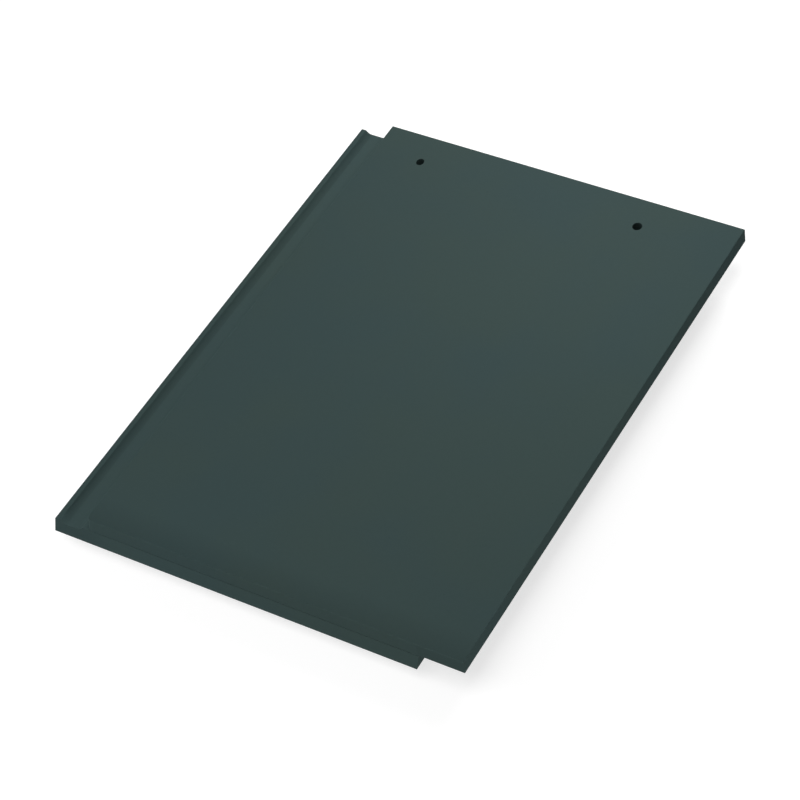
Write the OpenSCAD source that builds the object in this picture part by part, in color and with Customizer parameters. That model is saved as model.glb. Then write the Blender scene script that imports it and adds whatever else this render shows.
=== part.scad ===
// Flat interlocking roof tile, moulded in one piece.
//
// The tile lies level, weather face up: X runs across the roof, Y from the
// nose (the lower edge on the roof) to the head, Z upwards. The origin is the
// centre of the tile's outline, at the level of the bottom of the nibs.
//
// The outline is where two long shapes meet: the cross-section, which runs
// along Y and holds the side lock, and the side profile, which runs along X
// and holds the nose. The walls lean so that both mould halves come off: the
// outer wall of the underlock and the lower nose spread downwards, and the
// walls under the slab and the overlock spread upwards.

/* [Tile] */
// Length from nose to head
tile_l = 432; // [380:1:480]
// Width over both halves of the side lock
tile_w = 330; // [280:1:380]
// Depth of the nose, from the weather face to the bed
nose_depth = 26.5; // [24:0.5:34]
// Thickness of the slab between the ribs
slab_t = 13; // [11:0.5:16]
// Lean of the walls that the mould slides along, over their whole height
draft = 2; // [0.5:0.1:3]
// Radius of the edges of the weather face
edge_r = 1.2; // [0.4:0.1:2]
// Radius of the slab's front left corner, seen from above
slab_corner_r = 4; // [2:0.5:6]

/* [Side lock] */
// Width of the underlock, from the outer wall to the slab's edge
underlock_w = 32; // [28:0.5:40]
// Width of the overlock, past the foot of the body's right wall
overlock_w = 37; // [33:0.5:44]
// Thickness of the overlock
overlock_t = 12.3; // [11:0.1:14]
// Gap between the overlock and the rail of the next tile
rail_gap = 1.1; // [0.5:0.1:2]
// Height of the rail above the channel
rail_h = 3; // [2:0.1:4]
// Width of the rail's flat top
rail_top_w = 4.2; // [2.4:0.1:5]
// Radius of the rail's two top edges
rail_edge_r = 0.8; // [0.3:0.1:1]
// Radius of the channel's two hollow flanks, at the rail and at the ledge
flank_r = 5.7; // [5.4:0.1:9]
// Width of the ledge, from the channel's flank to the slab's top edge
ledge_w = 7; // [5.5:0.5:8]
// Radius in the corner between the ledge and the slab's wall
ledge_r = 1.5; // [0.5:0.1:2]
// Lean of the slab's wall, from its top edge down to the ledge
slab_lean = 3; // [1:0.5:3]
// Width of the overlock's rib, which hangs in the next tile's channel
lock_rib_w = 5; // [4:0.5:6]
// Gap between that rib and the floor of the channel
lock_rib_gap = 1; // [0.5:0.1:2]
// Gap between that rib and the foot of the rail's flank
lock_rib_side = 1.3; // [1:0.1:2]
// Distance from the upper nose to the start of the overlock's rib
lock_rib_setback = 12; // [6:1:30]
// Open joint between two tiles laid side by side
joint = 2; // [1:0.5:4]

/* [Nose] */
// How far the weather face dips at the nose
dip = 0.8; // [0.4:0.1:1.2]
// Distance from the nose to the middle of the bend that starts the dip
dip_l = 17; // [14:1:24]
// Radius of that bend
dip_r = 340; // [150:10:380]
// Width of the nose bar at the bed
nose_bar = 24; // [20:1:32]
// Depth of the shadow groove between the upper and the lower nose
shadow_d = 0.4; // [0.3:0.1:0.8]
// Number of weather grooves under the nose
groove_n = 2; // [1:1:2]
// Width of a weather groove at its mouth
groove_w = 4; // [3:0.5:4.5]
// Width of a weather groove at its crown
groove_crown = 2; // [1:0.5:3]
// Depth of a weather groove
groove_d = 3; // [2:0.5:4]
// Land in front of each weather groove
groove_land = 5; // [4:0.5:5]

/* [Underside] */
// Width of the wall between the underlock and the hollow
left_wall = 12; // [8:1:18]
// Width of the right wall, under the overlock's root
right_wall = 14; // [10:1:20]
// Width of the head bar
head_bar = 18; // [16:1:26]
// Width of a stiffening rib at its crest
rib_w = 12; // [8:1:18]
// Height of a stiffening rib below the slab
rib_h = 6; // [3:0.5:9]

/* [Nibs and nail holes] */
// Drop of the nibs below the bed, behind the batten
nib_drop = 12; // [8:0.5:16]
// Width of a nib
nib_w = 46; // [30:1:60]
// Thickness of a nib, along the tile
nib_t = 14; // [10:0.5:16]
// Distance between the two nibs, and between the ribs in line with them
nib_pitch = 92; // [70:1:110]
// Chamfer round the foot of a nib
nib_chamfer = 2; // [1:0.5:3]
// Diameter of a nail hole
nail_d = 7; // [4:0.1:9]
// Distance between the two nail holes
nail_pitch = 184; // [160:1:200]
// Distance from the nail holes to the head
nail_from_head = 27; // [25:0.1:34]
// Middle of the nail holes, from the middle of the outline
nail_shift = -1; // [-3:0.5:3]

/* [Hidden] */
$fn = 96;
// How far a cutting shape runs past the solid that it cuts
over = 1;

// Levels
bed_z = nib_drop;
face_z = bed_z + nose_depth;
slab_z = face_z - slab_t;
overlock_z = face_z - overlock_t;
rail_z = overlock_z - rail_gap;
channel_z = rail_z - rail_h;
nose_z = face_z - dip;
lock_rib_z = channel_z + lock_rib_gap;

// Places across the tile
left = -tile_w / 2;
right = tile_w / 2;
rail_out = left + draft;
rail_in = rail_out + rail_top_w;
flank_run = sqrt(2 * flank_r * rail_h - rail_h * rail_h);
flank_foot = rail_in + flank_run;
slab_left = left + underlock_w;
slab_foot = slab_left - slab_lean;
ledge_foot = slab_left - ledge_w - flank_run;
body_right = right - overlock_w;
hollow_left = slab_left + left_wall;
hollow_right = body_right - right_wall;
cover_w = tile_w - underlock_w + joint;
lock_rib_left = flank_foot + cover_w + lock_rib_side;

// Places along the tile
front = -tile_l / 2;
head = tile_l / 2;
upper_front = front + draft;
bend = upper_front + dip_l;
hollow_front = front + nose_bar;
hollow_head = head - head_bar;
nail_y = head - nail_from_head;
lock_rib_front = upper_front + lock_rib_setback;

tile_colour = [0.235, 0.29, 0.29];

// Unit vector from point p to point q
function towards(p, q) = (q - p) / norm(q - p);

// Runs a shape drawn in X and Z along Y, from y0 to y1
module along_y(y0, y1) {
    translate([0, y1, 0]) rotate([90, 0, 0]) linear_extrude(y1 - y0) children();
}

// Runs a shape drawn in Y and Z along X, from x0 to x1
module along_x(x0, x1) {
    translate([x0, 0, 0]) rotate([90, 0, 90]) linear_extrude(x1 - x0) children();
}

// The sliver between a corner p and the arc of radius r that rounds it. Points
// a and b lie on the corner's two edges. Taken away, it rounds an outer corner;
// added, it fills an inner one.
module corner(p, a, b, r) {
    u = towards(p, a);
    v = towards(p, b);
    half = acos(u * v) / 2;
    centre = p + towards([0, 0], u + v) * r / sin(half);
    difference() {
        polygon([p, p + u * r / tan(half), centre, p + v * r / tan(half)]);
        translate(centre) circle(r);
    }
}

// The sliver over the rail's inner edge, where its flat top meets the hollow
// flank: its arc touches both.
module rail_inner_edge() {
    flank = [flank_foot, channel_z + flank_r];
    reach = flank_r + rail_edge_r;
    rise = flank[1] - rail_z + rail_edge_r;
    centre = [flank[0] - sqrt(reach * reach - rise * rise), rail_z - rail_edge_r];
    touch = flank + towards(flank, centre) * flank_r;
    difference() {
        polygon([centre, [centre[0], rail_z], [touch[0], rail_z], touch]);
        translate(centre) circle(rail_edge_r);
    }
}

// Underlock: flange, outer rail, channel with two hollow flanks, and ledge
module underlock_section() {
    difference() {
        polygon([
            [left, bed_z], [slab_left, bed_z], [slab_left, rail_z], [ledge_foot, rail_z],
            [ledge_foot, channel_z], [flank_foot, channel_z], [flank_foot, rail_z],
            [rail_out, rail_z]
        ]);
        for (x = [flank_foot, ledge_foot])
            translate([x, channel_z + flank_r]) circle(flank_r);
        corner([rail_out, rail_z], [rail_in, rail_z], [left, bed_z], rail_edge_r);
        rail_inner_edge();
    }
}

// Body: the block under the weather face, between the two halves of the lock
module body_section() {
    difference() {
        polygon([
            [slab_foot, bed_z], [body_right, bed_z], [body_right + draft, overlock_z],
            [body_right + draft, face_z], [slab_left, face_z], [slab_foot, rail_z]
        ]);
        corner([slab_left, face_z], [right, face_z], [slab_foot, rail_z], edge_r);
    }
    corner([slab_foot, rail_z], [left, rail_z], [slab_left, face_z], ledge_r);
}

// Overlock: the lip that covers the next tile's underlock
module overlock_section() {
    difference() {
        polygon([
            [body_right, overlock_z], [right, overlock_z], [right, face_z], [body_right, face_z]
        ]);
        corner([right, face_z], [left, face_z], [right, bed_z], edge_r);
    }
}

// Side profile: square head, weather face that dips towards the nose, upright
// upper nose and leaning lower nose
module side_profile() {
    difference() {
        polygon([
            [front, bed_z], [head, bed_z], [head, face_z], [bend, face_z],
            [upper_front, nose_z], [upper_front, rail_z]
        ]);
        corner([bend, face_z], [head, face_z], [upper_front, nose_z], dip_r, $fn = 720);
        corner([upper_front, nose_z], [bend, face_z], [upper_front, bed_z], edge_r);
    }
}

// Rounding of the slab's front left corner, from above the weather face down to
// the ledge, along the edge where the leaning wall meets the upright nose
module slab_corner() {
    rise = face_z - rail_z;
    edge_l = norm([slab_lean, rise]);
    intersection() {
        translate([slab_left, upper_front, face_z])
            rotate([0, atan2(slab_lean, rise), 0])
                translate([0, 0, -edge_l - over])
                    linear_extrude(edge_l + 2 * over)
                        corner([0, 0], [1, 0], [0, 1], slab_corner_r);
        translate([left, front, rail_z]) cube([tile_w, tile_l, nose_depth]);
    }
}

// Rib under the overlock, which breaks the way of rain across the side lock
module lock_rib() {
    along_y(lock_rib_front, head)
        polygon([
            [lock_rib_left, lock_rib_z], [lock_rib_left + lock_rib_w, lock_rib_z],
            [lock_rib_left + lock_rib_w + over, overlock_z + over],
            [lock_rib_left - over, overlock_z + over]
        ]);
}

// A hollow's section from a to b at the bed, with both walls leaning inwards
module hollow_section(a, b) {
    polygon([
        [a, bed_z - over], [b, bed_z - over], [b, bed_z],
        [b - draft, slab_z], [a + draft, slab_z], [a, bed_z]
    ]);
}

// Hollow under the slab, inside the nose bar, the head bar and the side walls
module hollow() {
    intersection() {
        along_y(front, head) hollow_section(hollow_left, hollow_right);
        along_x(left, right) hollow_section(hollow_front, hollow_head);
    }
}

// One stiffening rib along the slab, from the nose bar to the head bar
module stiffening_rib(x) {
    along_y(hollow_front - over, hollow_head + over)
        polygon([
            [x - rib_w / 2, slab_z - rib_h], [x + rib_w / 2, slab_z - rib_h],
            [x + rib_w / 2 + draft, slab_z + over], [x - rib_w / 2 - draft, slab_z + over]
        ]);
}

// One nib under the head, which hooks over the batten: its ends lean inwards
module nib(x) {
    intersection() {
        along_x(x - nib_w / 2, x + nib_w / 2)
            polygon([
                [head - nib_t, bed_z + over], [head - nib_t, nib_chamfer],
                [head - nib_t + nib_chamfer, 0], [head - nib_chamfer, 0],
                [head, nib_chamfer], [head, bed_z + over]
            ]);
        along_y(head - nib_t, head)
            polygon([
                [x - nib_w / 2 + draft, 0], [x + nib_w / 2 - draft, 0],
                [x + nib_w / 2, bed_z], [x + nib_w / 2, bed_z + over],
                [x - nib_w / 2, bed_z + over], [x - nib_w / 2, bed_z]
            ]);
    }
}

// Shadow groove along the nose, where the upright part meets the leaning one
module shadow_groove() {
    along_x(slab_foot, right)
        polygon([
            [front, rail_z], [upper_front, rail_z], [upper_front + shadow_d, rail_z],
            [upper_front, rail_z + shadow_d], [front, rail_z + shadow_d]
        ]);
}

// Weather grooves under the nose, which stop rain from creeping up the lap
module weather_grooves() {
    slope = (groove_w - groove_crown) / 2;
    for (i = [0 : groove_n - 1]) {
        y = front + groove_land + i * (groove_land + groove_w);
        along_x(slab_left, hollow_right)
            polygon([
                [y, bed_z - over], [y + groove_w, bed_z - over], [y + groove_w, bed_z],
                [y + groove_w - slope, bed_z + groove_d], [y + slope, bed_z + groove_d],
                [y, bed_z]
            ]);
    }
}

// Two nail holes near the head, clear of the bars and ribs
module nail_holes() {
    for (x = [nail_shift - nail_pitch / 2, nail_shift + nail_pitch / 2])
        translate([x, nail_y, slab_z - over])
            cylinder(d = nail_d, h = slab_t + 2 * over);
}

module roof_tile() {
    color(tile_colour)
        difference() {
            union() {
                difference() {
                    intersection() {
                        along_y(front, head) {
                            underlock_section();
                            body_section();
                            overlock_section();
                        }
                        along_x(left, right) side_profile();
                    }
                    hollow();
                }
                lock_rib();
                for (x = [-nib_pitch / 2, nib_pitch / 2]) {
                    stiffening_rib(x);
                    nib(x);
                }
            }
            slab_corner();
            shadow_groove();
            weather_grooves();
            nail_holes();
        }
}

roof_tile();
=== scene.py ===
"""Looks of the flat interlocking roof tile.

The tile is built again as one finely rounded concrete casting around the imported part: the same
outline, side lock, nose, hollow, ribs, nibs and nail holes, with the soft arrises and uneven
faces of a real casting. A coated skin covers the weather side and the walls, and a bare one
covers what the mould pallet left.

Lengths are in metres, in the part's own frame: X across the roof, Y from the nose to the head
and Z out of the weather face.
"""

import logging
from dataclasses import dataclass, field
from enum import Enum
from math import atan2, ceil, cos, hypot, pi, radians, sin, sqrt, tan, tau

import bmesh
import bpy
from bpy.types import Material, Node, NodeSocket, NodeTree, Object
from mathutils import Euler, Matrix, Vector

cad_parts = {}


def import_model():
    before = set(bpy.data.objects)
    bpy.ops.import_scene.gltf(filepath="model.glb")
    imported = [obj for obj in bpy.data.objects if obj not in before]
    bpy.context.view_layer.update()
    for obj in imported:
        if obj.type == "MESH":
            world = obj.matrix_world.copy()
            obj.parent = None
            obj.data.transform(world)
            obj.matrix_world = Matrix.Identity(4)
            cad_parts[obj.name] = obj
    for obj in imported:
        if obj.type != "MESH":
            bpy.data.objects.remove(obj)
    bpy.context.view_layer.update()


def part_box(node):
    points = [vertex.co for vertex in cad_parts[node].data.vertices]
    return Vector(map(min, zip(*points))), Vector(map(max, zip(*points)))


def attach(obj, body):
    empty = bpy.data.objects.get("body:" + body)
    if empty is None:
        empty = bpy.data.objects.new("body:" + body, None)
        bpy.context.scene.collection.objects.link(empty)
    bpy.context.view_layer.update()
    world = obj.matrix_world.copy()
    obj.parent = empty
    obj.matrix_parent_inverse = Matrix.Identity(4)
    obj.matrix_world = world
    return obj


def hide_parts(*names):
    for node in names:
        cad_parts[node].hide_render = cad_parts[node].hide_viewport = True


MM = 0.001
# Two points nearer than this are one, and a corner more open than this isn't rounded
WELD = 0.001 * MM
STRAIGHT = radians(179.9)
NODE = "roof_tile"
BODY = "root"

log = logging.getLogger("roof_tile")


class Axis(Enum):
    """The direction that a prism runs in. Its value gives the drawing's two axes, then the run's."""

    ACROSS = (1, 2, 0)
    ALONG = (0, 2, 1)
    UP = (0, 1, 2)


class Cut(Enum):
    """What a boolean does with its second solid."""

    ADD = "UNION"
    TAKE = "DIFFERENCE"
    KEEP_COMMON = "INTERSECT"


# ---- Outlines and solids ----


@dataclass
class Outline:
    """A closed outline drawn corner by corner, where each corner may be rounded."""

    step: float = radians(10)
    corners: list[tuple[Vector, float, float]] = field(default_factory=list)

    def to(self, u: float, v: float, radius: float = 0.0, step: float | None = None) -> "Outline":
        """Adds a corner, unless the last one is at the same place.

        Args:
            u: Place on the drawing's first axis.
            v: Place on the drawing's second axis.
            radius: Radius that rounds the corner, inner or outer.
            step: Angle between the arc's points, where it isn't the outline's own.

        Returns:
            The outline itself.
        """
        corner = Vector((u, v))
        if not self.corners or (corner - self.corners[-1][0]).length > WELD:
            self.corners.append((corner, radius, step or self.step))
        return self

    def arc(self, centre: Vector, radius: float, start: float, end: float) -> "Outline":
        """Adds the points of an arc.

        Args:
            centre: Centre of the arc.
            radius: Radius of the arc.
            start: Angle of its first point, from the first axis towards the second.
            end: Angle of its last point.

        Returns:
            The outline itself.
        """
        count = max(2, ceil(abs(end - start) / self.step))
        for i in range(count + 1):
            angle = start + (end - start) * i / count
            self.to(centre.x + radius * cos(angle), centre.y + radius * sin(angle))
        return self

    def points(self) -> list[Vector]:
        """Works out the outline's points, with each rounded corner as an arc.

        Returns:
            The points in order.
        """
        made: list[Vector] = []
        total = len(self.corners)
        for i, (corner, radius, step) in enumerate(self.corners):
            before = self.corners[i - 1][0]
            after = self.corners[(i + 1) % total][0]
            made.extend(round_corner(before, corner, after, radius, step))
        return made


def round_corner(before: Vector, corner: Vector, after: Vector, radius: float,
                 step: float) -> list[Vector]:
    """Replaces a corner with the arc that touches both of its edges.

    Args:
        before: The corner before.
        corner: The corner itself.
        after: The corner after.
        radius: Radius of the arc, or 0 to keep the corner sharp.
        step: Angle between the arc's points.

    Returns:
        The arc's points, or the corner alone.
    """
    to_before = (before - corner).normalized()
    to_after = (after - corner).normalized()
    opening = to_before.angle(to_after)
    if radius <= 0 or opening > STRAIGHT:
        return [corner]
    start = corner + to_before * radius / tan(opening / 2)
    centre = corner + (to_before + to_after).normalized() * radius / sin(opening / 2)
    turn = pi - opening
    side = 1 if to_before.cross(to_after) > 0 else -1
    count = max(1, ceil(turn / step))
    spoke = start - centre
    return [centre + Matrix.Rotation(side * -turn * i / count, 2) @ spoke for i in range(count + 1)]


def share(value: float) -> float:
    """Holds a value between 0 and 1."""
    return min(max(value, 0.0), 1.0)


def linked(name: str, data: bpy.types.ID) -> Object:
    """Makes an object at the origin and links it to the scene.

    Args:
        name: Name of the object.
        data: Its mesh, lamp or camera.

    Returns:
        The object.
    """
    made = bpy.data.objects.new(name, data)
    bpy.context.scene.collection.objects.link(made)
    return made


def solid_object(name: str, bm: bmesh.types.BMesh) -> Object:
    """Turns a bmesh into an object whose faces point outwards.

    Args:
        name: Name of the object and its mesh.
        bm: The closed mesh, which is freed.

    Returns:
        The object, linked to the scene.
    """
    bmesh.ops.recalc_face_normals(bm, faces=bm.faces)
    mesh = bpy.data.meshes.new(name)
    bm.to_mesh(mesh)
    bm.free()
    return linked(name, mesh)


def prism(name: str, outline: Outline, axis: Axis, start: float, end: float) -> Object:
    """Runs an outline along an axis.

    Args:
        name: Name of the solid.
        outline: The closed outline.
        axis: The direction it runs in.
        start: Where it starts on that axis.
        end: Where it ends.

    Returns:
        The closed prism.
    """
    u, v, run = axis.value
    bm = bmesh.new()
    rings = []
    for place in (start, end):
        ring = []
        for point in outline.points():
            at = [0.0, 0.0, 0.0]
            at[u], at[v], at[run] = point.x, point.y, place
            ring.append(bm.verts.new(at))
        rings.append(ring)
        bm.faces.new(ring)
    for i, low in enumerate(rings[0]):
        j = (i + 1) % len(rings[0])
        bm.faces.new((low, rings[0][j], rings[1][j], rings[1][i]))
    return solid_object(name, bm)


def turned(name: str, outline: Outline, sides: int) -> Object:
    """Turns an outline of radius and height round the Z axis.

    Args:
        name: Name of the solid.
        outline: The outline, whose first and last points lie on the axis.
        sides: Number of sides.

    Returns:
        The closed solid.
    """
    bm = bmesh.new()
    path = [bm.verts.new((p.x, 0.0, p.y)) for p in outline.points()]
    edges = [bm.edges.new(pair) for pair in zip(path, path[1:])]
    bmesh.ops.spin(bm, geom=path + edges, cent=(0, 0, 0), axis=(0, 0, 1), angle=tau,
                   steps=sides, use_merge=True)
    bmesh.ops.remove_doubles(bm, verts=bm.verts, dist=WELD)
    return solid_object(name, bm)


def bake(target: Object) -> Object:
    """Replaces an object's mesh with its evaluated one and removes its modifiers.

    Args:
        target: The object, with live modifiers.

    Returns:
        The same object, now a plain mesh.
    """
    graph = bpy.context.evaluated_depsgraph_get()
    graph.update()
    made = bpy.data.meshes.new_from_object(target.evaluated_get(graph), depsgraph=graph)
    old = target.data
    target.modifiers.clear()
    target.data = made
    bpy.data.meshes.remove(old)
    return target


def combine(target: Object, tool: Object, how: Cut) -> Object:
    """Changes one solid by another, which is used up.

    Args:
        target: The solid that is kept.
        tool: The solid that changes it.
        how: Whether it is added, taken away or intersected.

    Returns:
        The changed target.
    """
    modifier = target.modifiers.new(how.name, "BOOLEAN")
    modifier.operation = how.value
    modifier.object = tool
    modifier.solver = "MANIFOLD"
    bake(target)
    used = tool.data
    bpy.data.objects.remove(tool)
    bpy.data.meshes.remove(used)
    return target


# ---- Node trees ----


class Socket(Enum):
    """The kinds of socket that the node groups have."""

    NUMBER = "NodeSocketFloat"
    COUNT = "NodeSocketInt"
    VECTOR = "NodeSocketVector"
    COLOUR = "NodeSocketColor"
    MATERIAL = "NodeSocketMaterial"
    GEOMETRY = "NodeSocketGeometry"


class Wiring:
    """A node tree that is built by naming nodes and what feeds them."""

    def __init__(self, tree: NodeTree) -> None:
        """Takes a tree and empties it."""
        self.tree = tree
        tree.nodes.clear()

    def feed(self, target: NodeSocket, source: object) -> None:
        """Feeds an input.

        Args:
            target: The input's socket.
            source: The socket that feeds it, or its value.
        """
        if isinstance(source, NodeSocket):
            self.tree.links.new(source, target)
        else:
            target.default_value = source

    def node(self, kind: str, feeds: dict | None = None, **settings: object) -> Node:
        """Adds a node.

        Args:
            kind: Blender's node type.
            feeds: What feeds each input, by the input's name or number: a socket or a value.
            **settings: The node's own settings.

        Returns:
            The node.
        """
        made = self.tree.nodes.new(kind)
        for setting, value in settings.items():
            setattr(made, setting, value)
        for key, source in (feeds or {}).items():
            self.feed(made.inputs[key], source)
        return made

    def maths(self, operation: str, first: object, second: object) -> NodeSocket:
        """Adds a sum, a product or the like of two sockets or values, and gives its socket."""
        return self.node("ShaderNodeMath", {0: first, 1: second}, operation=operation).outputs[0]

    def scaled(self, vector: NodeSocket, by: NodeSocket) -> NodeSocket:
        """Adds a vector or a colour times a number, and gives its socket."""
        return self.node("ShaderNodeVectorMath", {0: vector, "Scale": by}, operation="SCALE").outputs[0]

    def noise(self, place: NodeSocket, size: NodeSocket, feeds: dict[str, object],
              **settings: object) -> NodeSocket:
        """Adds a noise from 0 to 1 with patches of a size, read at a place, and gives its socket."""
        feeds = {"Vector": place, "Scale": self.maths("DIVIDE", 1.0, size), **feeds}
        return self.node("ShaderNodeTexNoise", feeds, **settings).outputs[0]

    def ramp(self, value: NodeSocket, ends: tuple, results: tuple = (0.0, 1.0),
             shape: str = "SMOOTHSTEP") -> NodeSocket:
        """Adds a ramp between two values, which is level outside them.

        Args:
            value: The socket that is read.
            ends: Where the ramp starts and ends, as sockets or values.
            results: What it gives at its two ends.
            shape: Blender's name of its shape.

        Returns:
            The ramp's socket.
        """
        feeds = {"Value": value, "From Min": ends[0], "From Max": ends[1],
                 "To Min": results[0], "To Max": results[1]}
        return self.node("ShaderNodeMapRange", feeds, interpolation_type=shape).outputs[0]


class Group(Wiring):
    """A node group with named inputs and outputs."""

    def __init__(self, name: str, kind: str, takes: dict[Socket, tuple[str, ...]]) -> None:
        """Makes a group that has its inputs and nothing else.

        Args:
            name: Name of the group.
            kind: Blender's tree type, such as GeometryNodeTree.
            takes: The names of its inputs, by their kind.
        """
        super().__init__(bpy.data.node_groups.new(name, kind))
        for socket, names in takes.items():
            for one in names:
                self.tree.interface.new_socket(name=one, in_out="INPUT", socket_type=socket.value)
        self.given = self.node("NodeGroupInput").outputs
        self.exit = self.node("NodeGroupOutput")

    def gives(self, name: str, kind: Socket, source: NodeSocket) -> None:
        """Adds a named output and feeds it."""
        self.tree.interface.new_socket(name=name, in_out="OUTPUT", socket_type=kind.value)
        self.feed(self.exit.inputs[name], source)

    def dressed(self, last: Node, skins: dict[str, NodeSocket | None]) -> NodeTree:
        """Ends a Geometry Nodes tree: its copies are made real and get their materials.

        Args:
            last: The node that gives the shape.
            skins: Which faces get the material of each named input, or None for all.

        Returns:
            The finished tree.
        """
        last = self.node("GeometryNodeRealizeInstances", {"Geometry": last.outputs[0]})
        for name, faces in skins.items():
            feeds = {"Geometry": last.outputs[0], "Material": self.given[name]}
            if faces:
                feeds["Selection"] = faces
            last = self.node("GeometryNodeSetMaterial", feeds)
        self.gives("Geometry", Socket.GEOMETRY, last.outputs[0])
        return self.tree


def add_tree(target: Object, tree: NodeTree, values: dict[str, object]) -> None:
    """Puts a Geometry Nodes tree on an object and sets its inputs by their identifiers.

    Args:
        target: The object.
        tree: The tree.
        values: Each input's value, by the input's name.
    """
    modifier = target.modifiers.new(tree.name, "NODES")
    modifier.node_group = tree
    for item in tree.interface.items_tree:
        if item.item_type == "SOCKET" and item.in_out == "INPUT" and item.name in values:
            modifier[item.identifier] = values[item.name]


def row_tree() -> NodeTree:
    """Builds the tree that sets out copies of a solid in a straight, centred row.

    Returns:
        The tree, with the inputs Count, Pitch and Material.
    """
    t = Group("row_of_copies", "GeometryNodeTree", {
        Socket.GEOMETRY: ("Geometry",), Socket.COUNT: ("Count",), Socket.VECTOR: ("Pitch",),
        Socket.MATERIAL: ("Material",)})
    count, pitch = t.given["Count"], t.given["Pitch"]
    half = t.maths("MULTIPLY", t.maths("ADD", count, -1.0), -0.5)
    line = t.node("GeometryNodeMeshLine", {
        "Count": count, "Start Location": t.scaled(pitch, half), "Offset": pitch}, mode="OFFSET")
    copies = t.node("GeometryNodeInstanceOnPoints", {
        "Points": line.outputs[0], "Instance": t.given["Geometry"]})
    return t.dressed(copies, {"Material": None})


def row(one: Object, tree: NodeTree, count: int, pitch: Vector, skin: Material) -> Object:
    """Turns a solid into a row of its copies, one pitch apart, with the tree that sets them out."""
    add_tree(one, tree, {"Count": count, "Pitch": pitch, "Material": skin})
    return bake(one)


def relief_tree() -> NodeTree:
    """Builds the tree that makes the faces as uneven as a pressed casting.

    The faces keep slow hollows and swellings, drawn out along Y, the way the tile was pressed.
    The unevenness always goes inwards, so that the casting never leaves its own box.

    Returns:
        The tree, with the inputs Depth, Patch, Stretch, Seed, Coated and Bare.
    """
    t = Group("cast_relief", "GeometryNodeTree", {
        Socket.GEOMETRY: ("Geometry",), Socket.NUMBER: ("Depth", "Patch", "Stretch", "Seed"),
        Socket.MATERIAL: ("Coated", "Bare")})
    along = t.maths("DIVIDE", 1.0, t.given["Stretch"])
    squeeze = t.node("ShaderNodeCombineXYZ", {"X": 1.0, "Y": along, "Z": 1.0})
    place = t.node("GeometryNodeInputPosition")
    feeds = {0: place.outputs[0], 1: squeeze.outputs[0]}
    drawn = t.node("ShaderNodeVectorMath", feeds, operation="MULTIPLY")
    feeds = {"W": t.given["Seed"], "Detail": 2.0}
    noise = t.noise(drawn.outputs[0], t.given["Patch"], feeds, noise_dimensions="4D")
    depth = t.maths("MULTIPLY", t.maths("MULTIPLY", noise, -1.0), t.given["Depth"])
    shift = t.scaled(t.node("GeometryNodeInputNormal").outputs[0], depth)
    moved = t.node("GeometryNodeSetPosition", {"Geometry": t.given["Geometry"], "Offset": shift})
    bare = t.node("GeometryNodeInputNamedAttribute", {"Name": "bare"}, data_type="BOOLEAN")
    return t.dressed(moved, {"Coated": None, "Bare": bare.outputs[0]})


# ---- Finishes ----

BLACK = (0.0, 0.0, 0.0, 1.0)
# Where a pinhole's floor ends, as a share of its radius
PORE_FLOOR = 0.6
# The stretches of noise in which the second colour and the worn runs come in
SECOND_COLOUR_ENDS = (0.3, 0.7)
RUN_ENDS = (0.35, 0.65)


def grain_group() -> NodeTree:
    """Builds the shader group of cast concrete's grain: fine sand and scattered pinholes.

    Returns:
        The group, which gives Height and the mask Pores.
    """
    t = Group("concrete_grain", "ShaderNodeTree", {
        Socket.VECTOR: ("Vector",),
        Socket.NUMBER: ("Sand Size", "Pore Spacing", "Pore Size", "Pore Depth")})
    place, pore_size = t.given["Vector"], t.given["Pore Size"]
    sand = t.noise(place, t.given["Sand Size"], {"Detail": 3.0, "Roughness": 0.6})
    fineness = t.maths("DIVIDE", 1.0, t.given["Pore Spacing"])
    cells = t.node("ShaderNodeTexVoronoi", {"Vector": place, "Scale": fineness, "Randomness": 1.0})
    floor = t.maths("MULTIPLY", pore_size, PORE_FLOOR)
    pores = t.ramp(cells.outputs["Distance"], (floor, pore_size), (1.0, 0.0))
    sunk = t.maths("MULTIPLY", pores, t.given["Pore Depth"])
    t.gives("Height", Socket.NUMBER, t.maths("SUBTRACT", sand, sunk))
    t.gives("Pores", Socket.NUMBER, pores)
    return t.tree


def drift_group() -> NodeTree:
    """Builds the shader group of a finish's slow drift between two colours, with a finer mottle.

    Returns:
        The group, which gives Colour and Tone.
    """
    t = Group("tone_drift", "ShaderNodeTree", {
        Socket.VECTOR: ("Vector",), Socket.COLOUR: ("Colour", "Second Colour"),
        Socket.NUMBER: ("Patch Size", "Mottle Size", "Amount")})
    patches = t.noise(t.given["Vector"], t.given["Patch Size"], {"Detail": 2.0})
    mottle = t.noise(t.given["Vector"], t.given["Mottle Size"], {"Detail": 4.0})
    centred = t.maths("SUBTRACT", t.maths("ADD", patches, mottle), 1.0)
    tone = t.maths("ADD", t.maths("MULTIPLY", centred, t.given["Amount"]), 1.0)
    pair = t.node("ShaderNodeMix", {
        "Factor": t.ramp(patches, SECOND_COLOUR_ENDS), "A": t.given["Colour"],
        "B": t.given["Second Colour"]}, data_type="RGBA")
    t.gives("Colour", Socket.COLOUR, t.scaled(pair.outputs["Result"], tone))
    t.gives("Tone", Socket.NUMBER, tone)
    return t.tree


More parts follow.
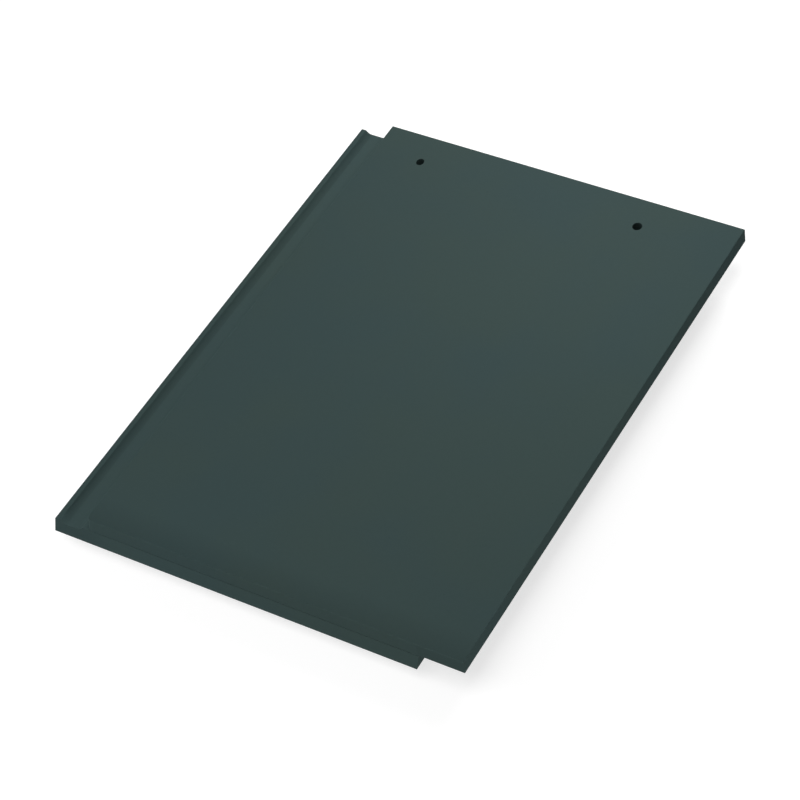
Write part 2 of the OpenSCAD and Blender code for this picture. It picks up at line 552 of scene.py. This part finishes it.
def wear_and_painted_shade_group() -> NodeTree:
    """Builds the shader group of a worn skin: it rubs off in short runs, and shade or light is painted
    where marked.

    Returns:
        The group, which gives Colour.
    """
    t = Group("skin_wear", "ShaderNodeTree", {
        Socket.VECTOR: ("Vector",), Socket.COLOUR: ("Colour",),
        Socket.NUMBER: ("Arris", "Painted Shade", "Run Length", "Amount")})
    # The coating rubs off in runs on the marked arrises and lightens them: real wear, and also a painted
    # highlight along the edges
    runs = t.ramp(t.noise(t.given["Vector"], t.given["Run Length"], {"Detail": 3.0}), RUN_ENDS)
    worn = t.maths("MULTIPLY", runs, t.given["Arris"])
    tone = t.maths("ADD", t.maths("MULTIPLY", worn, t.given["Amount"]), 1.0)
    # The marked painted shade darkens the colour, and painted light lightens it where the shade is below
    # 0
    both = t.maths("MULTIPLY", tone, t.maths("SUBTRACT", 1.0, t.given["Painted Shade"]))
    t.gives("Colour", Socket.COLOUR, t.scaled(t.given["Colour"], both))
    return t.tree


@dataclass(frozen=True)
class ConcreteFinish:
    """A skin of coloured concrete: its colour, how matt it is and how open its grain is."""

    name: str
    colour: tuple[float, ...]
    second_colour: tuple[float, ...]
    roughness: float
    spread: float
    specular: float
    tone_amount: float
    patch: float
    mottle: float
    sand: float
    pore_spacing: float
    pore_size: float
    pore_depth: float
    pore_painted_shade: float
    bump: float
    wear: float
    wear_run: float

    def material(self, grain: NodeTree, drift: NodeTree, wear: NodeTree) -> Material:
        """Builds the material.

        Args:
            grain: The shader group of the concrete's grain.
            drift: The shader group of the drift in tone.
            wear: The shader group of the worn skin and its painted shade and light.

        Returns:
            The material.
        """
        made = bpy.data.materials.new(self.name)
        made.use_nodes = True
        made.diffuse_color = (*self.colour, 1.0)
        t = Wiring(made.node_tree)
        place = t.node("ShaderNodeTexCoord").outputs["Object"]
        # The arrises' wear mark and the painted shade and light, read from the casting's attributes
        arris, painted_shade = (t.node("ShaderNodeAttribute", attribute_name=name).outputs["Fac"]
                        for name in ("arris", "painted_shade"))
        toned = t.node("ShaderNodeGroup", {
            "Vector": place, "Colour": (*self.colour, 1.0),
            "Second Colour": (*self.second_colour, 1.0), "Patch Size": self.patch,
            "Mottle Size": self.mottle, "Amount": self.tone_amount}, node_tree=drift).outputs
        grained = t.node("ShaderNodeGroup", {
            "Vector": place, "Sand Size": self.sand, "Pore Spacing": self.pore_spacing,
            "Pore Size": self.pore_size, "Pore Depth": self.pore_depth}, node_tree=grain).outputs
        # The pinholes are darkened in the colour: painted shade in the pits
        pored = t.maths("MULTIPLY", grained["Pores"], self.pore_painted_shade)
        feeds = {"Factor": pored, "A": toned["Colour"], "B": BLACK}
        shaded = t.node("ShaderNodeMix", feeds, data_type="RGBA", blend_type="MULTIPLY")
        worn = t.node("ShaderNodeGroup", {
            "Vector": place, "Colour": shaded.outputs["Result"], "Arris": arris,
            "Painted Shade": painted_shade, "Run Length": self.wear_run, "Amount": self.wear}, node_tree=wear).outputs
        tones = 1 - self.tone_amount, 1 + self.tone_amount
        mattest, smoothest = self.roughness + self.spread, self.roughness - self.spread
        matt = t.ramp(toned["Tone"], tones, (mattest, smoothest), "LINEAR")
        bump = t.node("ShaderNodeBump", {"Distance": self.bump, "Height": grained["Height"]})
        shader = t.node("ShaderNodeBsdfPrincipled", {
            "Base Color": worn["Colour"], "Roughness": matt, "Normal": bump.outputs["Normal"],
            "Specular IOR Level": self.specular})
        t.node("ShaderNodeOutputMaterial", {"Surface": shader.outputs["BSDF"]})
        return made


def display(*parts: int) -> tuple[float, ...]:
    """Turns a screen's red, green and blue, from 0 to 255, into linear light by the sRGB standard."""
    levels = [part / 255 for part in parts]
    return tuple(v / 12.92 if v <= 0.04045 else ((v + 0.055) / 1.055) ** 2.4 for v in levels)


COATED = ConcreteFinish(
    name="coated_concrete", colour=display(58, 74, 74), second_colour=display(59, 74, 72),
    roughness=0.7, spread=0.05, specular=0.01, tone_amount=0.05, patch=0.09,
    mottle=0.003, sand=0.0007, pore_spacing=0.011, pore_size=0.035, pore_depth=1.5,
    pore_painted_shade=0.25, bump=0.00003, wear=0.13, wear_run=0.007,
)
BARE = ConcreteFinish(
    name="bare_concrete", colour=display(66, 80, 80), second_colour=display(70, 81, 78),
    roughness=0.85, spread=0.05, specular=0.03, tone_amount=0.16, patch=0.05,
    mottle=0.002, sand=0.0011, pore_spacing=0.007, pore_size=0.11, pore_depth=4.0,
    pore_painted_shade=0.55, bump=0.0001, wear=0.1, wear_run=0.005,
)


# ---- The tile ----


@dataclass
class TileSizes:
    """The tile's sizes, and the levels and places that follow from them and from the frame's box."""

    low: Vector
    high: Vector
    nib_drop: float = 12 * MM
    slab: float = 13 * MM
    draft: float = 2 * MM
    underlock_w: float = 32 * MM
    overlock_w: float = 37 * MM
    overlock_t: float = 12.3 * MM
    rail_gap: float = 1.1 * MM
    rail_h: float = 3 * MM
    rail_top_w: float = 4.2 * MM
    flank_r: float = 5.7 * MM
    ledge_w: float = 7 * MM
    slab_lean: float = 3 * MM
    joint: float = 2 * MM
    dip: float = 0.8 * MM
    dip_l: float = 15 * MM
    nose_bar: float = 24 * MM
    left_wall: float = 12 * MM
    right_wall: float = 14 * MM
    head_bar: float = 18 * MM
    nail_from_head: float = 27 * MM

    @property
    def bed(self) -> float:
        """Level of the tile's bed."""
        return self.low.z + self.nib_drop

    @property
    def face(self) -> float:
        """Level of the weather face."""
        return self.high.z

    @property
    def slab_under(self) -> float:
        """Level of the slab's underside."""
        return self.face - self.slab

    @property
    def soffit(self) -> float:
        """Level of the overlock's underside."""
        return self.face - self.overlock_t

    @property
    def rail(self) -> float:
        """Level of the rail's top and of the ledge."""
        return self.soffit - self.rail_gap

    @property
    def channel(self) -> float:
        """Level of the channel's floor."""
        return self.rail - self.rail_h

    @property
    def flank_run(self) -> float:
        """How far a hollow flank reaches sideways between the channel and the rail's level."""
        return sqrt(2 * self.flank_r * self.rail_h - self.rail_h ** 2)

    @property
    def rail_in(self) -> float:
        """Inner end of the rail's flat top, before its edge is rounded."""
        return self.low.x + self.draft + self.rail_top_w

    @property
    def flank_foot(self) -> float:
        """Where the rail's flank meets the channel's floor."""
        return self.rail_in + self.flank_run

    @property
    def slab_left(self) -> float:
        """Left top edge of the slab."""
        return self.low.x + self.underlock_w

    @property
    def slab_foot(self) -> float:
        """Foot of the slab's left wall, on the ledge."""
        return self.slab_left - self.slab_lean

    @property
    def ledge_foot(self) -> float:
        """Where the ledge's flank meets the channel's floor."""
        return self.slab_left - self.ledge_w - self.flank_run

    @property
    def body_right(self) -> float:
        """Foot of the body's right wall."""
        return self.high.x - self.overlock_w

    @property
    def nose(self) -> float:
        """Place of the upright upper nose."""
        return self.low.y + self.draft


@dataclass
class Casting:
    """The tile as one concrete casting with softened arrises."""

    sizes: TileSizes
    arris: float = 0.3 * MM
    edge_r: float = 0.6 * MM
    rail_edge_r: float = 0.8 * MM
    ledge_r: float = 1.5 * MM
    dip_r: float = 380 * MM
    slab_corner_r: float = 4 * MM
    shadow_d: float = 0.4 * MM
    groove_w: float = 4 * MM
    groove_crown: float = 2 * MM
    groove_d: float = 3 * MM
    groove_land: float = 5 * MM
    groove_n: int = 2
    lock_rib_w: float = 5 * MM
    lock_rib_gap: float = 1 * MM
    lock_rib_side: float = 1.3 * MM
    lock_rib_setback: float = 12 * MM
    rib_w: float = 12 * MM
    rib_h: float = 6 * MM
    nib_w: float = 46 * MM
    nib_t: float = 14 * MM
    nib_pitch: float = 92 * MM
    nib_chamfer: float = 2 * MM
    hollow_r: float = 3 * MM
    nail_w: float = 5.9 * MM
    nail_l: float = 7 * MM
    wide_nail_w: float = 7.2 * MM
    wide_nail_l: float = 7.8 * MM
    nail_slip: float = 0.25 * MM
    nail_pitch: float = 184 * MM
    nail_shift: float = -1 * MM
    nail_sides: int = 48
    # How far a cutting solid reaches past what it cuts, and how far a rib ends inside
    over: float = 1 * MM
    inset: float = 0.2 * MM
    # Angles between the points of two arcs
    dip_step: float = radians(0.5)
    corner_step: float = radians(6)
    # Cells of the large faces, and the lengths that are too short to keep
    grid: float = 6 * MM
    weld: float = 0.002 * MM
    slice_weld: float = 0.01 * MM
    # The unevenness of the faces
    relief_depth: float = 0.12 * MM
    relief_patch: float = 60 * MM
    relief_stretch: float = 1.6
    relief_seed: float = 3.0
    # Edges that stay sharp, and how much large faces lead the normals
    sharp_angle: float = radians(35)
    face_weight: int = 80
    # What tells the faces apart: how narrow an arris is, the slack round a level, the reach of a
    # nail hole's walls, and how much of a normal means downwards, one way and head-on
    narrow: float = 0.2 * MM
    slack: float = 0.1 * MM
    hole_reach: float = 5.5 * MM
    downwards: float = -0.3
    one_way: float = 0.5
    head_on: float = 0.95
    # How much shade or light is painted into the skin's colour, and how far the dip's painted shade
    # reaches
    dip_painted_shade: float = 0.13
    painted_shade_reach: float = 22 * MM
    hole_painted_shade: float = 0.45
    rail_painted_shade: float = 0.04
    ledge_painted_shade: float = 0.07
    lip_painted_shade: float = 0.06
    corner_painted_light: float = 0.16
    front_painted_shade: float = 0.09
    front_fade: float = 12 * MM
    channel_painted_light: float = 0.055
    head_painted_contrast: float = 0.05
    flank_painted_light: float = 0.16

    def section(self) -> Outline:
        """Draws the cross-section: underlock, slab, overlock and body.

        Returns:
            The outline in X and Z.
        """
        s = self.sizes
        draw = Outline().to(s.low.x, s.bed, self.arris)
        draw.to(s.low.x + s.draft, s.rail, self.rail_edge_r)
        self.hollow_flank(draw, s.flank_foot, 1)
        self.hollow_flank(draw, s.ledge_foot, -1)
        draw.to(s.slab_foot, s.rail, self.ledge_r)
        draw.to(s.slab_left, s.face, self.edge_r)
        draw.to(s.high.x, s.face, self.edge_r)
        draw.to(s.high.x, s.soffit, self.arris)
        draw.to(s.body_right + s.draft, s.soffit, self.ledge_r)
        draw.to(s.body_right, s.bed, self.arris)
        return draw

    def hollow_flank(self, draw: Outline, foot: float, side: int) -> None:
        """Draws a hollow flank of the channel and the rounded edge over it.

        Args:
            draw: The outline to add to.
            foot: Where the flank meets the channel's floor.
            side: 1 where the flank comes down to its foot, and -1 where it rises from it.
        """
        s = self.sizes
        hollow = Vector((foot, s.channel + s.flank_r))
        rise = hollow.y - s.rail + self.rail_edge_r
        reach = s.flank_r + self.rail_edge_r
        edge = Vector((foot - side * sqrt(reach ** 2 - rise ** 2), s.rail - self.rail_edge_r))
        lean = atan2(hollow.y - edge.y, hollow.x - edge.x)
        if side > 0:
            draw.arc(edge, self.rail_edge_r, pi / 2, lean)
            draw.arc(hollow, s.flank_r, lean - pi, -pi / 2)
        else:
            draw.arc(hollow, s.flank_r, -pi / 2, lean - pi)
            draw.arc(edge, self.rail_edge_r, lean, pi / 2)

    def side_view(self) -> Outline:
        """Draws the side view: head, weather face with its dip, and the nose in two tiers.

        Returns:
            The outline in Y and Z.
        """
        s = self.sizes
        draw = Outline().to(s.low.y, s.bed, self.arris)
        draw.to(s.high.y, s.bed, self.arris)
        draw.to(s.high.y, s.face, self.arris)
        draw.to(s.nose + s.dip_l, s.face, self.dip_r, self.dip_step)
        draw.to(s.nose, s.face - s.dip, self.edge_r)
        draw.to(s.nose, s.rail + self.shadow_d)
        draw.to(s.nose + self.shadow_d, s.rail)
        draw.to(s.nose, s.rail)
        return draw

    def blank(self) -> Object:
        """Makes the tile's outer form, where the cross-section meets the side view.

        Returns:
            The solid.
        """
        s = self.sizes
        over = self.over
        made = prism("cast_tile", self.section(), Axis.ALONG, s.low.y - over, s.high.y + over)
        side = prism("side_view", self.side_view(), Axis.ACROSS, s.low.x - over, s.high.x + over)
        return combine(made, side, Cut.KEEP_COMMON)

    def hollow(self) -> Object:
        """Makes the hollow under the slab.

        Returns:
            The solid to take away.
        """
        s = self.sizes
        across = self.hollow_view(s.slab_left + s.left_wall, s.body_right - s.right_wall)
        along = self.hollow_view(s.low.y + s.nose_bar, s.high.y - s.head_bar)
        made = prism("hollow", across, Axis.ALONG, s.low.y, s.high.y)
        length = prism("hollow_length", along, Axis.ACROSS, s.low.x, s.high.x)
        return combine(made, length, Cut.KEEP_COMMON)

    def hollow_view(self, start: float, end: float) -> Outline:
        """Draws the hollow from one side, with leaning walls and rounded inner corners.

        Args:
            start: Its start at the bed.
            end: Its end at the bed.

        Returns:
            The outline.
        """
        s = self.sizes
        draw = Outline().to(start, s.bed - self.over).to(end, s.bed - self.over).to(end, s.bed)
        draw.to(end - s.draft, s.slab_under, self.hollow_r)
        draw.to(start + s.draft, s.slab_under, self.hollow_r)
        return draw.to(start, s.bed)

    def lock_rib(self) -> Object:
        """Makes the rib that hangs from the overlock into the next tile's channel.

        Returns:
            The solid.
        """
        s = self.sizes
        cover = (s.high.x - s.low.x) - s.underlock_w + s.joint
        start = s.flank_foot + cover + self.lock_rib_side
        foot = s.channel + self.lock_rib_gap
        draw = Outline().to(start, foot, self.arris).to(start + self.lock_rib_w, foot, self.arris)
        draw.to(start + self.lock_rib_w + self.over, s.soffit + self.over)
        draw.to(start - self.over, s.soffit + self.over)
        return prism("lock_rib", draw, Axis.ALONG, s.nose + self.lock_rib_setback, s.high.y - self.inset)

    def stiffening_rib(self) -> Object:
        """Makes one rib of the slab's underside, centred on X.

        Returns:
            The solid.
        """
        s = self.sizes
        half = self.rib_w / 2
        crest = s.slab_under - self.rib_h
        draw = Outline().to(-half, crest, 2 * self.arris).to(half, crest, 2 * self.arris)
        draw.to(half + s.draft, s.slab_under + self.over).to(-half - s.draft, s.slab_under + self.over)
        start, end = s.low.y + s.nose_bar - self.over, s.high.y - s.head_bar + self.over
        return prism("stiffening_rib", draw, Axis.ALONG, start, end)

    def nib(self) -> Object:
        """Makes one nib under the head, centred on X.

        Returns:
            The solid.
        """
        s = self.sizes
        back, front, half = s.high.y, s.high.y - self.nib_t, self.nib_w / 2
        cut = self.nib_chamfer
        side = Outline().to(front, s.bed + self.over).to(front, s.low.z + cut, self.arris)
        side.to(front + cut, s.low.z, self.arris).to(back - cut, s.low.z, self.arris)
        side.to(back, s.low.z + cut, self.arris).to(back, s.bed + self.over)
        end = Outline().to(s.draft - half, s.low.z, self.arris).to(half - s.draft, s.low.z, self.arris)
        end.to(half, s.bed).to(half, s.bed + self.over)
        end.to(-half, s.bed + self.over).to(-half, s.bed)
        made = prism("nib", side, Axis.ACROSS, -half, half)
        return combine(made, prism("nib_end", end, Axis.ALONG, front, back), Cut.KEEP_COMMON)

    def weather_groove(self) -> Object:
        """Makes the solid that cuts one weather groove under the nose.

        Returns:
            The solid, centred on the grooves' middle.
        """
        s = self.sizes
        pitch = self.groove_land + self.groove_w
        middle = s.low.y + self.groove_land + self.groove_w / 2 + (self.groove_n - 1) * pitch / 2
        half, crown = self.groove_w / 2, self.groove_crown / 2
        draw = Outline().to(middle - half, s.bed - self.over).to(middle + half, s.bed - self.over)
        draw.to(middle + half, s.bed).to(middle + crown, s.bed + self.groove_d, self.arris)
        draw.to(middle - crown, s.bed + self.groove_d, self.arris).to(middle - half, s.bed)
        return prism("weather_groove", draw, Axis.ACROSS, s.slab_left, s.body_right - s.right_wall)

    def nail_hole(self, place: float, width: float, length: float, slip: float) -> Object:
        """Makes the solid that cuts one nail hole, which the pin drew out towards the nose.

        Args:
            place: Its place on X.
            width: Its width.
            length: Its length.
            slip: How far it lies towards the nose from the row of holes.

        Returns:
            The solid.
        """
        s = self.sizes
        draw = Outline().to(0, s.slab_under - self.over).to(width / 2, s.slab_under - self.over)
        draw.to(width / 2, s.face + self.over).to(0, s.face + self.over)
        made = turned("nail_hole", draw, self.nail_sides)
        made.data.transform(Matrix.Diagonal((1.0, length / width, 1.0, 1.0)))
        made.data.transform(Matrix.Translation((place, s.high.y - s.nail_from_head - slip, 0)))
        return made

    def slab_corner(self) -> Object:
        """Makes the sliver that rounds the slab's front left corner, down to the ledge.

        Returns:
            The solid to take away.
        """
        s = self.sizes
        rise = s.face - s.rail
        length = hypot(s.slab_lean, rise)
        radius = self.slab_corner_r
        draw = Outline(step=self.corner_step)
        draw.to(-self.over, -self.over).to(radius, -self.over)
        draw.arc(Vector((radius, radius)), radius, -pi / 2, -pi)
        draw.to(-self.over, radius)
        made = prism("slab_corner", draw, Axis.UP, -length - self.over, self.over)
        turn = Euler((0, atan2(s.slab_lean, rise), 0)).to_matrix().to_4x4()
        made.data.transform(Matrix.Translation((s.slab_left, s.nose, s.face)) @ turn)
        band = Outline().to(s.low.x, s.rail).to(s.high.x, s.rail)
        band.to(s.high.x, s.face + self.over).to(s.low.x, s.face + self.over)
        return combine(made, prism("band", band, Axis.ALONG, s.low.y, s.high.y), Cut.KEEP_COMMON)

    def build(self, coated: Material, bare: Material) -> Object:
        """Builds the casting.

        Args:
            coated: Material of the weather side and the outer walls.
            bare: Material of the underside.

        Returns:
            The finished piece.
        """
        tree = row_tree()
        nib_step = Vector((self.nib_pitch, 0, 0))
        nail_step = Vector((self.nail_pitch, 0, 0))
        groove_step = Vector((0, self.groove_land + self.groove_w, 0))
        tile = self.blank()
        combine(tile, self.hollow(), Cut.TAKE)
        combine(tile, self.lock_rib(), Cut.ADD)
        for one in (self.stiffening_rib(), self.nib()):
            combine(tile, row(one, tree, 2, nib_step, bare), Cut.ADD)
        combine(tile, self.slab_corner(), Cut.TAKE)
        combine(tile, row(self.weather_groove(), tree, self.groove_n, groove_step, bare), Cut.TAKE)
        place, slip = self.nail_shift, self.nail_slip
        pin = self.nail_hole(place, self.nail_w, self.nail_l, 2 * slip)
        combine(tile, row(pin, tree, 2, nail_step, bare), Cut.TAKE)
        place += self.nail_pitch / 2
        worn = self.nail_hole(place, self.wide_nail_w, self.wide_nail_l, slip)
        combine(tile, worn, Cut.TAKE)
        self.lay_grid(tile)
        self.mark_bare(tile)
        add_tree(tile, relief_tree(), {
            "Depth": self.relief_depth, "Patch": self.relief_patch, "Seed": self.relief_seed,
            "Stretch": self.relief_stretch, "Coated": coated, "Bare": bare})
        bake(tile)
        self.mark_arrises(tile)
        # Paints shade and light into the skin's colour, on a corner attribute
        self.mark_painted_shade(tile)
        self.smooth(tile)
        return tile

    def lay_grid(self, tile: Object) -> None:
        """Cuts the large faces into a grid, so that they can be uneven.

        Args:
            tile: The casting.
        """
        s = self.sizes
        bm = bmesh.new()
        bm.from_mesh(tile.data)
        bmesh.ops.remove_doubles(bm, verts=bm.verts, dist=self.weld)
        bmesh.ops.dissolve_degenerate(bm, edges=bm.edges, dist=self.weld)
        for axis, normal in enumerate((Vector((1, 0, 0)), Vector((0, 1, 0)))):
            span = s.high[axis] - s.low[axis]
            count = round(span / self.grid)
            for i in range(1, count):
                place = normal * (s.low[axis] + span * i / count)
                everything = bm.verts[:] + bm.edges[:] + bm.faces[:]
                bmesh.ops.bisect_plane(
                    bm, geom=everything, dist=self.slice_weld, plane_co=place, plane_no=normal)
        bm.to_mesh(tile.data)
        bm.free()

    def mark_bare(self, tile: Object) -> None:
        """Marks the faces that the mould pallet left bare, on a face attribute.

        Args:
            tile: The casting.
        """
        s = self.sizes
        flags = []
        for face in tile.data.polygons:
            middle = face.center
            hidden = (s.slab_left < middle.x < s.body_right - s.right_wall / 2
                      and s.low.y + s.nose_bar / 2 < middle.y < s.high.y - s.head_bar / 2
                      and middle.z < s.slab_under + self.slack)
            flags.append(hidden or face.normal.z < self.downwards)
        tile.data.attributes.new("bare", "BOOLEAN", "FACE").data.foreach_set("value", flags)

    def mark_arrises(self, tile: Object) -> None:
        """Marks the narrow faces that round the edges, for worn coating and a painted highlight, on a
        face attribute.

        Args:
            tile: The casting.
        """
        mesh = tile.data
        points = mesh.vertices
        marks = []
        for face in mesh.polygons:
            length = max((points[a].co - points[b].co).length for a, b in face.edge_keys)
            marks.append(1.0 if face.area < self.narrow * length else 0.0)
        mesh.attributes.new("arris", "FLOAT", "FACE").data.foreach_set("value", marks)

    def lock_painted_shade(self, place: Vector, middle: Vector) -> float:
        """Gives the underlock's painted shade: dark on its rail and ledge, painted light mostly in its
        channel.

        Args:
            place: A point of the underlock.
            middle: Middle of the face that it belongs to.

        Returns:
            How much shade is painted on the skin, which is below 0 where light is painted instead.
        """
        s = self.sizes
        if place.x < s.rail_in:
            return self.rail_painted_shade
        at_ledge = place.x > s.ledge_foot and place.z > s.rail - self.arris
        if at_ledge and place.y < s.nose + self.slab_corner_r:
            return -self.corner_painted_light
        up = share((place.z - s.channel) / s.rail_h)
        along = (place.y - s.low.y) / (s.high.y - s.low.y)
        # Towards the head the painted shade on the flank's foot grows as the painted light on the
        # channel's floor does
        if middle.x < s.flank_foot:
            return self.head_painted_contrast * along * (1 - up) - self.flank_painted_light * up
        return self.ledge_painted_shade * up - (self.channel_painted_light + self.head_painted_contrast * along) * (1 - up)

    def mark_painted_shade(self, tile: Object) -> None:
        """Marks where shade or light is painted into the skin's colour, on a corner attribute.

        Painted shade darkens the skin down the dip, in the nail holes, on the rail, on the lip's end and
        at the left of the lower nose, and painted light mostly lightens it in the channel.

        Args:
            tile: The casting.
        """
        s = self.sizes
        level = s.high.y - s.nail_from_head
        holes = [Vector((self.nail_shift + side * self.nail_pitch / 2, level)) for side in (-1, 1)]
        mesh = tile.data
        painted_shades = [0.0] * len(mesh.loops)
        for face in mesh.polygons:
            middle, normal = face.center, face.normal
            near_hole = any((middle.xy - hole).length < self.hole_reach for hole in holes)
            to_front = normal.y < -self.one_way
            for loop in face.loop_indices:
                place = mesh.vertices[mesh.loops[loop].vertex_index].co
                # Painted shade darkens the walls of the nail holes
                if near_hole and abs(normal.z) < self.one_way:
                    painted_shades[loop] = self.hole_painted_shade
                # Painted shade darkens the lower nose under the underlock, fading out to the right
                elif to_front and place.z < s.rail + self.arris:
                    left = (s.slab_left + self.front_fade - place.x) / self.front_fade
                    painted_shades[loop] = self.front_painted_shade * share(left)
                # Painted shade and light on the underlock: its rail, ledge, flank and channel
                elif middle.x < s.slab_left + self.edge_r and abs(normal.y) < self.head_on:
                    painted_shades[loop] = self.lock_painted_shade(place, middle)
                # Painted shade darkens the front of the lip's end
                elif middle.x > s.body_right and to_front:
                    painted_shades[loop] = self.lip_painted_shade
                # Painted shade darkens the weather face down the dip towards the nose
                elif normal.z > self.one_way and place.z > s.rail + s.rail_h:
                    down = (s.nose + self.painted_shade_reach - place.y) / self.painted_shade_reach
                    painted_shades[loop] = self.dip_painted_shade * share(down)
        mesh.attributes.new("painted_shade", "FLOAT", "CORNER").data.foreach_set("value", painted_shades)

    def smooth(self, tile: Object) -> None:
        """Shades the casting smoothly, with its normals led by its large faces.

        Args:
            tile: The casting.
        """
        tile.data.polygons.foreach_set("use_smooth", [True] * len(tile.data.polygons))
        tile.data.set_sharp_from_angle(angle=self.sharp_angle)
        modifier = tile.modifiers.new("weighted", "WEIGHTED_NORMAL")
        modifier.keep_sharp = True
        modifier.weight = self.face_weight
        bake(tile)


# ---- The studio ----


@dataclass(frozen=True)
class Softbox:
    """A square area lamp: where it hangs, how wide it is and how strong it is."""

    name: str
    place: tuple[float, float, float]
    width: float
    power: float

    def hang(self, target: Vector) -> None:
        """Hangs the lamp, turned towards a point.

        Args:
            target: The point.
        """
        lamp = bpy.data.lights.new(self.name, "AREA")
        lamp.shape = "SQUARE"
        lamp.size = self.width
        lamp.energy = self.power
        made = linked(self.name, lamp)
        made.location = self.place
        made.rotation_euler = (target - made.location).to_track_quat("-Z", "Y").to_euler()
        made.visible_camera = False


@dataclass
class Studio:
    """A white floor under soft light, and the camera."""

    floor_level: float
    target: tuple[float, float, float] = (0.01391, -0.03117, 0.03858)
    floor_reach: float = 6.0
    floor_cells: int = 8
    floor_grey: float = 0.45
    floor_lift: float = 0.7
    lit_reach: float = 0.7
    fade_end: float = 2.1
    air: float = 0.05
    backdrop: float = 1.0
    lamps: tuple[Softbox, ...] = (
        Softbox("left_softbox", (-0.9, -0.52, 0.63), 0.8, 4.9),
        Softbox("front_softbox", (0.0, -0.6, 1.07), 0.8, 5.5),
        Softbox("low_front_softbox", (-0.34, -0.94, 0.1), 0.3, 1.85),
        Softbox("right_softbox", (0.86, -0.5, 0.1), 0.3, 3.3),
        Softbox("head_softbox", (-0.23, 0.84, 0.26), 0.4, 6.3),
        Softbox("slab_softbox", (0.17, 0.22, 0.45), 0.25, 0.95),
    )
    lens: float = 125.73
    film_width: float = 36.0
    azimuth: float = radians(37.214)
    elevation: float = radians(47.184)
    roll: float = radians(-10.339)
    distance: float = 1.96579

    def light(self) -> None:
        """Sets up the world and hangs the lamps."""
        world = bpy.data.worlds.new("studio")
        world.use_nodes = True
        t = Wiring(world.node_tree)
        air, backdrop = (t.node("ShaderNodeBackground", {"Strength": power}).outputs[0]
                         for power in (self.air, self.backdrop))
        mix = t.node("ShaderNodeMixShader", {"Fac": self.seen(t), 1: air, 2: backdrop})
        t.node("ShaderNodeOutputWorld", {"Surface": mix.outputs[0]})
        bpy.context.scene.world = world
        for lamp in self.lamps:
            lamp.hang(Vector(self.target))

    def floor(self) -> None:
        """Lays the white floor."""
        bm = bmesh.new()
        bmesh.ops.create_grid(bm, x_segments=self.floor_cells, y_segments=self.floor_cells,
                              size=self.floor_reach)
        bmesh.ops.translate(bm, verts=bm.verts, vec=(0, 0, self.floor_level))
        mesh = bpy.data.meshes.new("floor")
        bm.to_mesh(mesh)
        bm.free()
        mesh.materials.append(self.floor_material())
        linked("floor", mesh)

    def floor_material(self) -> Material:
        """Builds the floor's white, which the camera sees brighter than the lamps make it.

        The lift grows away from the tile, where less light falls.

        Returns:
            The material.
        """
        made = bpy.data.materials.new("floor_white")
        made.use_nodes = True
        t = Wiring(made.node_tree)
        place = t.node("ShaderNodeTexCoord").outputs["Object"]
        away = t.node("ShaderNodeVectorMath", {0: place}, operation="LENGTH").outputs["Value"]
        lift = t.ramp(away, (self.lit_reach, self.fade_end), (self.floor_lift, 1.0), "LINEAR")
        glow = t.node("ShaderNodeEmission", {"Strength": t.maths("MULTIPLY", self.seen(t), lift)})
        matt = t.node("ShaderNodeBsdfDiffuse", {"Color": (*[self.floor_grey] * 3, 1.0)})
        both = t.node("ShaderNodeAddShader", {0: matt.outputs[0], 1: glow.outputs[0]})
        t.node("ShaderNodeOutputMaterial", {"Surface": both.outputs[0]})
        return made

    @staticmethod
    def seen(t: Wiring) -> NodeSocket:
        """Gives 1 where the camera, a reflection or a view through glass meets the backdrop.

        Args:
            t: The tree of the backdrop's material or world.

        Returns:
            The output socket.
        """
        path = t.node("ShaderNodeLightPath").outputs
        either = t.maths("MAXIMUM", path["Is Camera Ray"], path["Is Glossy Ray"])
        return t.maths("MAXIMUM", either, path["Is Transmission Ray"])

    def camera(self) -> None:
        """Sets up the camera, which looks down on the tile from the front right."""
        data = bpy.data.cameras.new("camera")
        data.lens = self.lens
        data.sensor_width = self.film_width
        data.dof.use_dof = False
        made = linked("camera", data)
        level = cos(self.elevation)
        back = Vector((sin(self.azimuth) * level, -cos(self.azimuth) * level,
                       sin(self.elevation)))
        aim = back.to_track_quat("Z", "Y").to_matrix().to_4x4()
        place = Matrix.Translation(Vector(self.target) + back * self.distance)
        made.matrix_world = place @ aim @ Matrix.Rotation(self.roll, 4, "Z")
        bpy.context.scene.camera = made


def report(piece: Object) -> None:
    """Logs a finished piece with its size and its number of triangles.

    Args:
        piece: The piece.
    """
    piece.data.calc_loop_triangles()
    size = ", ".join(f"{part / MM:.1f}" for part in piece.dimensions)
    log.info("%s: %s mm, %d triangles", piece.name, size, len(piece.data.loop_triangles))


def main() -> None:
    """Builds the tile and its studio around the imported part."""
    logging.basicConfig(level=logging.INFO, format="%(name)s: %(message)s")
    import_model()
    low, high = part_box(NODE)

    groups = grain_group(), drift_group(), wear_and_painted_shade_group()
    tile = Casting(TileSizes(low, high)).build(COATED.material(*groups), BARE.material(*groups))
    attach(tile, BODY)
    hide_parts(NODE)
    report(tile)

    studio = Studio(floor_level=low.z)
    studio.light()
    studio.floor()
    studio.camera()
    bpy.context.scene.view_settings.view_transform = "Standard"


if __name__ == "__main__":
    main()
